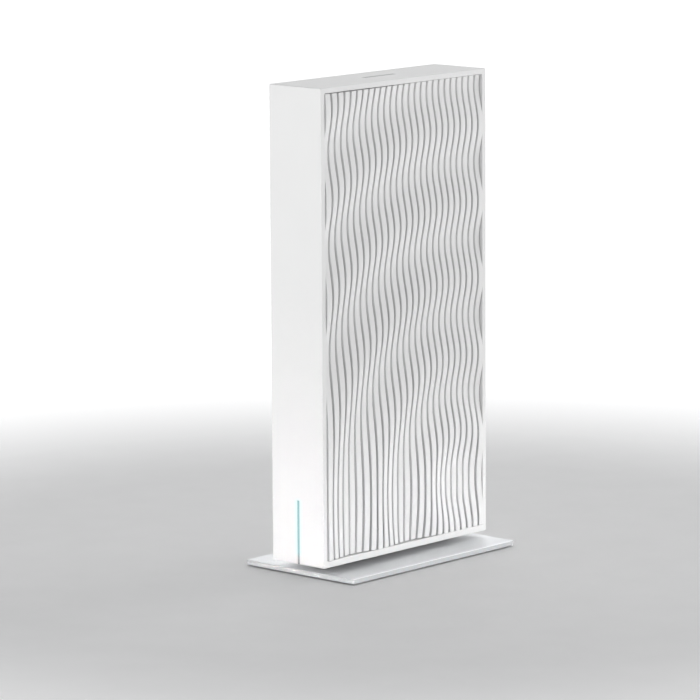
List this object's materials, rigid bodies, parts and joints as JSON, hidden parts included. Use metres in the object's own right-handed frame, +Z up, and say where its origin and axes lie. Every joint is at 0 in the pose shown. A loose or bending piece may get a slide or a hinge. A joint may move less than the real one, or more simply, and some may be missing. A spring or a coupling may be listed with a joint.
{
  "type": "wireless router",
  "caption": "Slim upright wireless router: white case with rippled slatted sides, rear network sockets, power inlet and push button, on a flat metal base plate.",
  "frame": {"origin": "on the surface the router stands on, at the middle of its bounding box seen from above", "axes": "+Z up, the lit front face looks along -Y, the sockets look along +Y, +X to the right seen from the front"},
  "size_m": [0.0556, 0.0962, 0.1883],
  "materials": {
    "case_white": "fine satin moulded white",
    "socket_white": "smooth moulded white",
    "inner_white": "natural nylon",
    "plate_metal": "fine brushed top with a bright bevelled edge",
    "neck_dark": "matte moulded",
    "foot_rubber": "matte",
    "light_guide": "clear guide lit cyan",
    "contact_gold": "gold-flashed spring contacts",
    "steel": "plated",
    "board_green": "solder mask",
    "chip_black": "moulded epoxy",
    "sink_aluminium": "extruded, satin",
    "pad_silicone": "soft silicone gap pad",
    "chassis_grey": "matte moulded",
    "ferrite": "sintered ferrite",
    "lead_black": "coaxial jacket",
    "lamp": "phosphor lamp body",
    "flex_amber": "polyimide film",
    "print_grey": "thin printed marks beside the sockets"
  },
  "bodies": {
    "case": {"antenna_1": "board_green", "antenna_2": "board_green", "antenna_3": "board_green", "antenna_4": "board_green", "antenna_lead_1": "lead_black", "antenna_lead_2": "lead_black", "antenna_lead_3": "lead_black", "antenna_lead_4": "lead_black", "base_pedestal": "neck_dark", "base_plate": "plate_metal", "base_screw_1": "steel", "base_screw_2": "steel", "dc_centre_pin": "steel", "dc_jack_housing": "socket_white", "dc_spring_contact": "steel", "ethernet_contacts_1": "contact_gold", "ethernet_contacts_2": "contact_gold", "ethernet_contacts_3": "contact_gold", "ethernet_contacts_4": "contact_gold", "ethernet_jack_block": "socket_white", "ethernet_magnetics_1": "chip_black", "ethernet_magnetics_2": "chip_black", "flash_chip": "chip_black", "foot_pad_1": "foot_rubber", "foot_pad_2": "foot_rubber", "foot_pad_3": "foot_rubber", "foot_pad_4": "foot_rubber", "heat_spreader": "sink_aluminium", "heatsink_pin_1": "inner_white", "heatsink_pin_2": "inner_white", "housing_frame": "case_white", "inner_chassis": "chassis_grey", "led_board": "board_green", "led_chip_1": "lamp", "led_chip_2": "lamp", "led_flex": "flex_amber", "led_light_guide": "light_guide", "left_wave_panel": "case_white", "main_heatsink": "sink_aluminium", "main_pcb": "board_green", "pcb_screw_1": "steel", "pcb_screw_2": "steel", "pcb_screw_3": "steel", "pcb_screw_4": "steel", "power_capacitor_1": "steel", "power_inductor_1": "ferrite", "power_switch_body": "chip_black", "ram_chip": "chip_black", "rf_shield_1": "steel", "rf_shield_2": "steel", "right_wave_panel": "case_white", "soc_chip": "chip_black", "thermal_pad_back": "pad_silicone", "thermal_pad_soc": "pad_silicone"},
    "power_button": {"power_button": "case_white", "power_switch_plunger": "inner_white"}
  },
  "joints": [
    {"name": "power_button_press", "type": "slide", "parent": "case", "child": "power_button", "axis": [0, -1, 0], "range_m": [0, 0.0015], "stiffness_N_per_m": 800}
  ]
}
